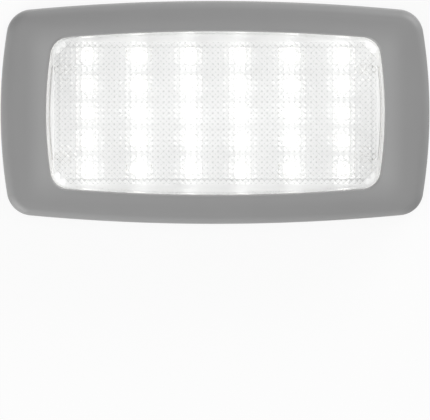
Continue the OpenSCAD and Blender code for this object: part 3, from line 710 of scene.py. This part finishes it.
head_h = rivet_high.z - seat_z
dome = [math.radians(a) for a in (20, 40, 60, 80, 90)]
profile = [(RIVET_R * TIP_FLAT, rivet_low.z),
           (RIVET_R * TIP_SHOULDER, rivet_low.z + TIP_EDGE_R),
           (RIVET_R, rivet_low.z + TIP_L), (RIVET_R, seat_z),
           (RIVET_HEAD_R - HEAD_EDGE_R, seat_z), (RIVET_HEAD_R, seat_z + HEAD_EDGE_R),
           (RIVET_HEAD_R, seat_z + HEAD_SIDE * head_h)]
profile += [(RIVET_HEAD_R * (HEAD_FLAT + (1 - HEAD_FLAT) * math.cos(t)),
             seat_z + head_h * (HEAD_SIDE + (1 - HEAD_SIDE) * math.sin(t))) for t in dome]
profile += [(PIN_HEAD_R + PIN_EDGE_R, rivet_high.z), (PIN_HEAD_R, rivet_high.z - PIN_EDGE_R),
            (PIN_HEAD_R, rivet_high.z - PIN_SINK),
            (PIN_HEAD_R * PIN_FLAT, rivet_high.z - PIN_SINK)]
rivet = start_ring("push_rivets", turned_ring(*profile[0]))
bpy.ops.mesh.edge_face_add()
for r, z in profile[1:]:
    extrude_ring(rivet, turned_ring(r, z))
bpy.ops.mesh.edge_face_add()
finish_mesh(rivet)
copies = [placed_copy("rivet", rivet.data,
                      Matrix.Translation((x * rivet_x, y * RIVET_SPAN / 2, 0)))
          for x in (-1, 1) for y in (-1, 1)]
rivet.data.clear_geometry()
pick(rivet, *copies)
bpy.ops.object.join()
# Natural nylon: milky white, with a faint painted glow standing for light from the lit chamber.
material, tree, place = patterned_material("natural nylon")
clouds = add_node(tree, "ShaderNodeTexNoise", {"Scale": 1 / (2 * MM)}, {"Vector": place})
tone = add_node(tree, "ShaderNodeMix",
                {"data_type": "RGBA", 6: srgb("#f1f1ee"), 7: srgb("#f7f7f5")},
                {0: clouds.outputs["Fac"]})
nylon = add_node(tree, "ShaderNodeBsdfPrincipled",
                 {"Roughness": 0.4, "IOR": 1.53, "Emission Color": srgb("#ffffff"),
                  "Emission Strength": 0.24}, {"Base Color": tone.outputs[2]})
dress(rivet, material, nylon)
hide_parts("board_rivets")
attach(rivet, "root")


# The lens: one clear polycarbonate moulding. Its face fills the window with a soft edge, its
# flange is held down by the bezel's lip, and its inner face is a field of four-sided prisms
# inside a smooth band.
BODY = (lamp_l, lamp_w, 700 * MM, 180 * MM, 9 * MM)
END_RAIL = 16.1 * MM
SIDE_RAIL = 10.6 * MM
WINDOW = (lamp_l - 2 * END_RAIL, lamp_w - 2 * SIDE_RAIL, 650 * MM, 140 * MM, 6.6 * MM)
LENS_GAP = 0.35 * MM
LENS_EDGE_R = 0.7 * MM
LENS_CROWN = 0.6 * MM
LENS_RECESS = 2 * MM
LENS_T = 2.2 * MM
LENS_STEP = 1.6 * MM
FLANGE_T = 1.6 * MM
FLANGE_W = 2.6 * MM
RECESS_OUT = 0.8 * MM
PRISM_PITCH = 1.9 * MM
PRISM_H = 0.5 * MM
PRISM_PAD = 0.1 * MM
PRISM_COLS = 59
PRISM_ROWS = 26
PRISM_MARGIN = 0.8 * MM
CREST_Z = 16.195 * MM
lens_edge_z = CREST_Z - LENS_RECESS
lens_face_z = lens_edge_z - LENS_T
flange_top = lens_edge_z - LENS_STEP
flange_z = flange_top - FLANGE_T


def grown(form, d):
    """An outline's form moved outwards by d all round.

    A form is the length, the width, and the radii of the long edges, short edges and corners."""
    return (form[0] + 2 * d, form[1] + 2 * d, form[2] + d, form[3] + d, form[4] + d)


def corner_centre(form):
    """The centre of the corner's arc, which touches both edges' arcs."""
    length, width, long_r, short_r, corner_r = form
    long_centre = Vector((0, width / 2 - long_r))
    gap = Vector((length / 2 - short_r, 0)) - long_centre
    reach_long, reach_short = long_r - corner_r, short_r - corner_r
    along = (reach_long ** 2 - reach_short ** 2 + gap.length ** 2) / (2 * gap.length)
    aside = math.sqrt(reach_long ** 2 - along ** 2)
    unit = gap.normalized()
    return long_centre + along * unit + aside * Vector((unit.y, -unit.x))


def arc(centre, r, start, end, steps):
    """Points along an arc, without its first one."""
    angles = [start + (end - start) * k / steps for k in range(1, steps + 1)]
    return [centre + r * Vector((math.cos(a), math.sin(a))) for a in angles]


def outline(form, steps=(10, 16, 18)):
    """The outline of two bowed long edges, two bowed short ones and four round corners.

    The steps are those along half a short edge, a corner and half a long edge."""
    length, width, long_r, short_r, corner_r = form
    long_centre = Vector((0, width / 2 - long_r))
    short_centre = Vector((length / 2 - short_r, 0))
    corner = corner_centre(form)
    low = math.atan2(*(corner - short_centre).yx)
    high = math.atan2(*(corner - long_centre).yx)
    quarter = ([Vector((length / 2, 0))]
               + arc(short_centre, short_r, 0, low, steps[0])
               + arc(corner, corner_r, low, high, steps[1])
               + arc(long_centre, long_r, high, math.pi / 2, steps[2]))
    return (quarter[:-1] + [Vector((-p.x, p.y)) for p in quarter[:0:-1]]
            + [-p for p in quarter[:-1]] + [Vector((p.x, -p.y)) for p in quarter[:0:-1]])


def inside(x, y, form):
    """True if the point lies within the outline of that form."""
    near = Vector((abs(x), abs(y)))
    corner = corner_centre(form)
    in_edges = ((near - Vector((0, form[1] / 2 - form[2]))).length < form[2]
                and (near - Vector((form[0] / 2 - form[3], 0))).length < form[3])
    past_corner = near.x > corner.x and near.y > corner.y and (near - corner).length > form[4]
    return in_edges and not past_corner


def flat_ring(form, z, share=1.0):
    """A level ring on that outline, drawn in to a share of its size."""
    return [(*(p * share), z) for p in outline(form)]


face_form = grown(WINDOW, -LENS_GAP)
crown_form = grown(face_form, -LENS_EDGE_R)
rings = [flat_ring(crown_form, lens_edge_z + LENS_CROWN * (1 - s * s), s)
         for s in (0.02, 0.15, 0.3, 0.45, 0.6, 0.72, 0.84, 0.92)]
rings += [flat_ring(grown(face_form, -LENS_EDGE_R * (1 - math.sin(t))),
                    lens_edge_z - LENS_EDGE_R * (1 - math.cos(t)))
          for t in [math.pi / 2 * k / 6 for k in range(7)]]
rings += [flat_ring(face_form, flange_top), flat_ring(grown(WINDOW, FLANGE_W), flange_top),
          flat_ring(grown(WINDOW, FLANGE_W), flange_z), flat_ring(grown(WINDOW, RECESS_OUT), flange_z),
          flat_ring(grown(WINDOW, RECESS_OUT), lens_face_z)]
lens = start_ring("prismatic_lens", rings[0])
bpy.ops.mesh.edge_face_add()
for ring in rings[1:]:
    extrude_ring(lens, ring)
bpy.ops.object.mode_set(mode="OBJECT")

bpy.ops.object.select_all(action="DESELECT")
bpy.ops.mesh.primitive_grid_add(x_subdivisions=PRISM_COLS, y_subdivisions=PRISM_ROWS, size=1)
prisms = bpy.context.object
prisms.scale = (PRISM_COLS * PRISM_PITCH, PRISM_ROWS * PRISM_PITCH, 1)
prisms.location = (0, 0, lens_face_z - PRISM_PAD)
bpy.ops.object.transform_apply()
bpy.ops.object.mode_set(mode="EDIT")
bpy.ops.mesh.select_mode(type="FACE")
mesh = bmesh.from_edit_mesh(prisms.data)
field = grown(WINDOW, -PRISM_MARGIN)
for face in mesh.faces:
    face.select = not all(inside(v.co.x, v.co.y, field) for v in face.verts)
bmesh.update_edit_mesh(prisms.data)
bpy.ops.mesh.delete(type="FACE")
bpy.ops.mesh.select_all(action="SELECT")
bpy.ops.mesh.poke(offset=-PRISM_H)
bpy.ops.mesh.select_mode(type="EDGE")
bpy.ops.mesh.select_all(action="DESELECT")
bpy.ops.mesh.select_non_manifold()
bpy.ops.mesh.extrude_edges_move(TRANSFORM_OT_translate={"value": (0, 0, PRISM_PAD)})
bpy.ops.object.mode_set(mode="OBJECT")
pick(lens, prisms)
bpy.ops.object.join()
bpy.ops.object.mode_set(mode="EDIT")
bpy.ops.mesh.select_all(action="DESELECT")
bpy.ops.mesh.select_non_manifold()
bpy.ops.mesh.fill(use_beauty=True)
finish_mesh(lens, 20)

# Clear moulded polycarbonate: water clear and glossy. The prisms' edges are rounded in the
# mould and bend the light out of sight. Painted shade in fine darker lines stands for this, so
# each prism reads as a cell.
EDGE_LINE = 0.16 * MM
VALLEY_SHARE = 0.5
UNDER_FACE = 0.03 * MM
material, tree, place = patterned_material("clear moulded polycarbonate")
axes = add_node(tree, "ShaderNodeSeparateXYZ", {}, {"Vector": place})
cell_x = add_node(tree, "ShaderNodeMath", {"operation": "PINGPONG", 1: PRISM_PITCH / 2},
                  {0: axes.outputs["X"]})
edge_y = add_node(tree, "ShaderNodeMath", {"operation": "PINGPONG", 1: PRISM_PITCH / 2},
                  {0: axes.outputs["Y"]})
cell_y = add_node(tree, "ShaderNodeMath", {"operation": "SUBTRACT", 0: PRISM_PITCH / 2},
                  {1: edge_y.outputs[0]})
slant = add_node(tree, "ShaderNodeMath", {"operation": "SUBTRACT"},
                 {0: cell_x.outputs[0], 1: cell_y.outputs[0]})
off_ridge = add_node(tree, "ShaderNodeMath", {"operation": "ABSOLUTE"}, {0: slant.outputs[0]})
ridge = add_node(tree, "ShaderNodeMapRange",
                 {"From Min": EDGE_LINE, "From Max": 0.0, "interpolation_type": "SMOOTHSTEP"},
                 {"Value": off_ridge.outputs[0]})
to_valley = add_node(tree, "ShaderNodeMath", {"operation": "MAXIMUM"},
                     {0: cell_x.outputs[0], 1: cell_y.outputs[0]})
valley = add_node(tree, "ShaderNodeMapRange",
                  {"From Min": PRISM_PITCH / 2 - EDGE_LINE, "From Max": PRISM_PITCH / 2,
                   "To Max": VALLEY_SHARE, "interpolation_type": "SMOOTHSTEP"},
                  {"Value": to_valley.outputs[0]})
line = add_node(tree, "ShaderNodeMath", {"operation": "MAXIMUM"},
                {0: ridge.outputs["Result"], 1: valley.outputs["Result"]})
below = add_node(tree, "ShaderNodeMath",
                 {"operation": "LESS_THAN", 1: lens_face_z - UNDER_FACE}, {0: axes.outputs["Z"]})
painted_line_shade = add_node(tree, "ShaderNodeMath", {"operation": "MULTIPLY"},
                 {0: line.outputs[0], 1: below.outputs[0]})
# Painted shade: a darker tint along the prisms' ridges and valleys on the inner face.
clear_with_painted_lines = add_node(tree, "ShaderNodeMix",
                {"data_type": "RGBA", 6: srgb("#fdfdfd"), 7: srgb("#939595")},
                {0: painted_line_shade.outputs[0]})
path = add_node(tree, "ShaderNodeLightPath")
unbent = add_node(tree, "ShaderNodeMath", {"operation": "MAXIMUM"},
                  {0: path.outputs["Is Shadow Ray"], 1: path.outputs["Is Diffuse Ray"]})
clear = add_node(tree, "ShaderNodeBsdfPrincipled",
                 {"Roughness": 0.02, "IOR": 1.585, "Transmission Weight": 1.0},
                 {"Base Color": clear_with_painted_lines.outputs[2]})
through = add_node(tree, "ShaderNodeBsdfTransparent", {"Color": srgb("#f3f3f3")})
mixed = add_node(tree, "ShaderNodeMixShader", {},
                 {"Fac": unbent.outputs[0], 1: clear.outputs[0], 2: through.outputs[0]})
dress(lens, material, mixed)
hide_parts("lens")
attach(lens, "root")


# The bezel: one satin grey ABS moulding about 2 mm thick, with bowed sides, a rolled outer edge,
# crowned rails and a lip that rolls down to the window. Six hooks and thin ribs hang inside it,
# and it is snapped onto the tray last.
WALL = 2 * MM
DRAFT = 0.4 * MM
EDGE_R = 3.8 * MM
ROLL_END = math.radians(80)
CROWN = 0.8 * MM
CROWN_TURN = math.radians(120)
LIP_R = 1.1 * MM
LIP_T = 2 * MM
SOFT = 0.12 * MM
edge_z = CREST_Z - CROWN
lip_z = edge_z + CROWN * math.sin(CROWN_TURN)


def rail_ring(share, d_out, d_in, z):
    """A ring of the bezel: d_out in from its edge, d_in out from the window, or between."""
    outer = outline(grown(BODY, -d_out))
    inner = outline(grown(WINDOW, d_in))
    return [(*o.lerp(i, share), z) for o, i in zip(outer, inner)]


roll = [ROLL_END * k / 9 for k in range(10)]
crown = [k / 14 for k in range(1, 15)]
lip = [math.pi / 2 * k / 8 for k in range(1, 9)]
roll_z = edge_z - EDGE_R
roll_in = DRAFT + EDGE_R * (1 - math.cos(ROLL_END))
rings = [rail_ring(0, WALL, 0, lamp_low.z), rail_ring(0, SOFT, 0, lamp_low.z),
         rail_ring(0, 0, 0, lamp_low.z + SOFT)]
rings += [rail_ring(0, DRAFT + EDGE_R * (1 - math.cos(t)), 0, roll_z + EDGE_R * math.sin(t))
          for t in roll]
rings += [rail_ring(t, roll_in, LIP_R, edge_z + CROWN * math.sin(CROWN_TURN * t)) for t in crown]
rings += [rail_ring(1, 0, LIP_R * (1 - math.sin(t)), lip_z - LIP_R * (1 - math.cos(t)))
          for t in lip]
rings += [rail_ring(1, 0, 0, flange_top + SOFT), rail_ring(1, 0, SOFT, flange_top),
          rail_ring(1, 0, LIP_T, flange_top), rail_ring(1, 0, LIP_T, lip_z - WALL),
          rail_ring(0.5, DRAFT + EDGE_R, LIP_T, edge_z + CROWN / 2 - WALL),
          rail_ring(0, DRAFT + EDGE_R, 0, edge_z - WALL), rail_ring(0, DRAFT + WALL, 0, roll_z)]
bezel = start_ring("bezel_moulding", rings[0])
for ring in rings[1:]:
    extrude_ring(bezel, ring)
mesh = bmesh.from_edit_mesh(bezel.data)
for edge in mesh.edges:
    edge.select = edge.is_boundary
bmesh.update_edit_mesh(bezel.data)
bpy.ops.mesh.bridge_edge_loops()
finish_mesh(bezel)

HOOK_W = 8 * MM
HOOK_T = 1.2 * MM
HOOK_IN = 4.4 * MM
HOOK_X = 34 * MM
BARB = 1 * MM
BARB_H = 2.4 * MM
TIP_Z = 3.4 * MM
RIB_T = 1.2 * MM
RIB_FOOT = 8.3 * MM
RIB_REACH_LONG = 6.3 * MM
RIB_REACH_SHORT = 11.8 * MM
JOIN = 0.3 * MM
catch_z = TIP_Z + BARB_H
root_z = edge_z - WALL + JOIN


def edge_place(at, is_end, turned):
    """Where a piece with +Y outwards stands on the bezel's outer edge, at that place along it."""
    r = BODY[3] if is_end else BODY[2]
    half = lamp_l / 2 if is_end else lamp_w / 2
    place = (Matrix.Translation((0, half - r, 0)) @ Matrix.Rotation(-math.asin(at / r), 4, "Z")
             @ Matrix.Translation((0, r, 0)))
    angle = (math.pi if turned else 0) - (math.pi / 2 if is_end else 0)
    return Matrix.Rotation(angle, 4, "Z") @ place


def hung_block(name, profile, width):
    """A block with that outline in the Y and Z plane, extruded along X, its edges softened."""
    block = start_ring(name, [(-width / 2, y, z) for y, z in profile])
    bpy.ops.mesh.edge_face_add()
    bpy.ops.mesh.extrude_region_move(TRANSFORM_OT_translate={"value": (width, 0, 0)})
    finish_mesh(block)
    round_edges(block, SOFT)
    return block


hook = hung_block("hook", [(-HOOK_IN, root_z), (-HOOK_IN - HOOK_T, root_z),
                           (-HOOK_IN - HOOK_T, TIP_Z), (-HOOK_IN, TIP_Z),
                           (-HOOK_IN + BARB, catch_z - BARB_H / 4), (-HOOK_IN + BARB, catch_z),
                           (-HOOK_IN, catch_z)], HOOK_W)
rib_root = DRAFT + WALL - JOIN
long_rib = hung_block("long_rib", [(-RIB_REACH_LONG, RIB_FOOT), (-rib_root, RIB_FOOT),
                                   (-rib_root, root_z), (-RIB_REACH_LONG, root_z)], RIB_T)
end_rib = hung_block("end_rib", [(-RIB_REACH_SHORT, RIB_FOOT), (-rib_root, RIB_FOOT),
                                 (-rib_root, root_z), (-RIB_REACH_SHORT, root_z)], RIB_T)
places = [(hook, at, False) for at in (-HOOK_X, HOOK_X)] + [(hook, 0, True)]
places += [(long_rib, at, False) for at in (-HOOK_X - HOOK_W, -HOOK_X + HOOK_W, 0,
                                            HOOK_X - HOOK_W, HOOK_X + HOOK_W)]
places += [(end_rib, at, True) for at in (-HOOK_W, HOOK_W)]
hung = [placed_copy("hung", block.data, edge_place(at, is_end, turned))
        for block, at, is_end in places for turned in (False, True)]
pick(*hung)
bpy.ops.object.join()
weld = bezel.modifiers.new("hooks and ribs", "BOOLEAN")
weld.operation = "UNION"
weld.solver = "EXACT"
weld.object = hung[0]
pick(bezel)
bpy.ops.object.modifier_apply(modifier="hooks and ribs")
shade_evenly(bezel, 35)
for block in (hook, long_rib, end_rib, hung[0]):
    bpy.data.objects.remove(block)

# Satin moulded ABS: neutral mid grey with a fine spark-eroded grain that spreads its
# highlights, and the faintest drift of tone. A painted glow stands for the light that the lit
# lens spills on the lip and on the inner half of the end rails.
SPILL_REACH = 8 * MM
END_SPILL = 0.05
LIP_SPILL = 0.12
material, tree, place = patterned_material("satin grey moulded ABS")
grain = add_node(tree, "ShaderNodeTexNoise", {"Scale": 1 / (0.35 * MM), "Detail": 3.0},
                 {"Vector": place})
drift = add_node(tree, "ShaderNodeTexNoise", {"Scale": 1 / (14 * MM), "Detail": 2.0},
                 {"Vector": place})
tone = add_node(tree, "ShaderNodeMix",
                {"data_type": "RGBA", 6: srgb("#8b8b8b"), 7: srgb("#8f8f8f")},
                {0: drift.outputs["Fac"]})
sheen = add_node(tree, "ShaderNodeMapRange", {"To Min": 0.5, "To Max": 0.58},
                 {"Value": grain.outputs["Fac"]})
bump = add_node(tree, "ShaderNodeBump", {"Strength": 0.12, "Distance": 0.02 * MM},
                {"Height": grain.outputs["Fac"]})
axes = add_node(tree, "ShaderNodeSeparateXYZ", {}, {"Vector": place})
out_x = add_node(tree, "ShaderNodeMath", {"operation": "ABSOLUTE"}, {0: axes.outputs["X"]})
out_y = add_node(tree, "ShaderNodeMath", {"operation": "ABSOLUTE"}, {0: axes.outputs["Y"]})
# Painted glow on the inner half of the end rails and on the lip.
ends = add_node(tree, "ShaderNodeMapRange",
                {"From Min": WINDOW[0] / 2 + SPILL_REACH, "From Max": WINDOW[0] / 2,
                 "To Min": 0.0, "To Max": END_SPILL, "interpolation_type": "SMOOTHSTEP"},
                {"Value": out_x.outputs[0]})
by_end = add_node(tree, "ShaderNodeMapRange",
                  {"From Min": WINDOW[1] / 2 + SPILL_REACH / 2, "From Max": WINDOW[1] / 2 - SPILL_REACH,
                   "interpolation_type": "SMOOTHSTEP"}, {"Value": out_y.outputs[0]})
painted_end_spill = add_node(tree, "ShaderNodeMath", {"operation": "MULTIPLY"},
                 {0: ends.outputs["Result"], 1: by_end.outputs["Result"]})
lip_x = add_node(tree, "ShaderNodeMath", {"operation": "LESS_THAN", 1: WINDOW[0] / 2 + LIP_R},
                 {0: out_x.outputs[0]})
lip_y = add_node(tree, "ShaderNodeMath", {"operation": "LESS_THAN", 1: WINDOW[1] / 2 + LIP_R},
                 {0: out_y.outputs[0]})
on_lip = add_node(tree, "ShaderNodeMath", {"operation": "MULTIPLY"},
                  {0: lip_x.outputs[0], 1: lip_y.outputs[0]})
down = add_node(tree, "ShaderNodeMapRange",
                {"From Min": lip_z, "From Max": lip_z - LIP_R, "To Min": 0.0, "To Max": LIP_SPILL},
                {"Value": axes.outputs["Z"]})
painted_lip_glow = add_node(tree, "ShaderNodeMath", {"operation": "MULTIPLY"},
                    {0: on_lip.outputs[0], 1: down.outputs["Result"]})
lit = add_node(tree, "ShaderNodeMath", {"operation": "MAXIMUM"},
               {0: painted_end_spill.outputs[0], 1: painted_lip_glow.outputs[0]})
plastic = add_node(tree, "ShaderNodeBsdfPrincipled", {"IOR": 1.5, "Emission Color": srgb("#ffffff")},
                   {"Base Color": tone.outputs[2], "Roughness": sheen.outputs["Result"],
                    "Normal": bump.outputs["Normal"], "Emission Strength": lit.outputs[0]})
dress(bezel, material, plastic)
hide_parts("bezel")
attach(bezel, "root")
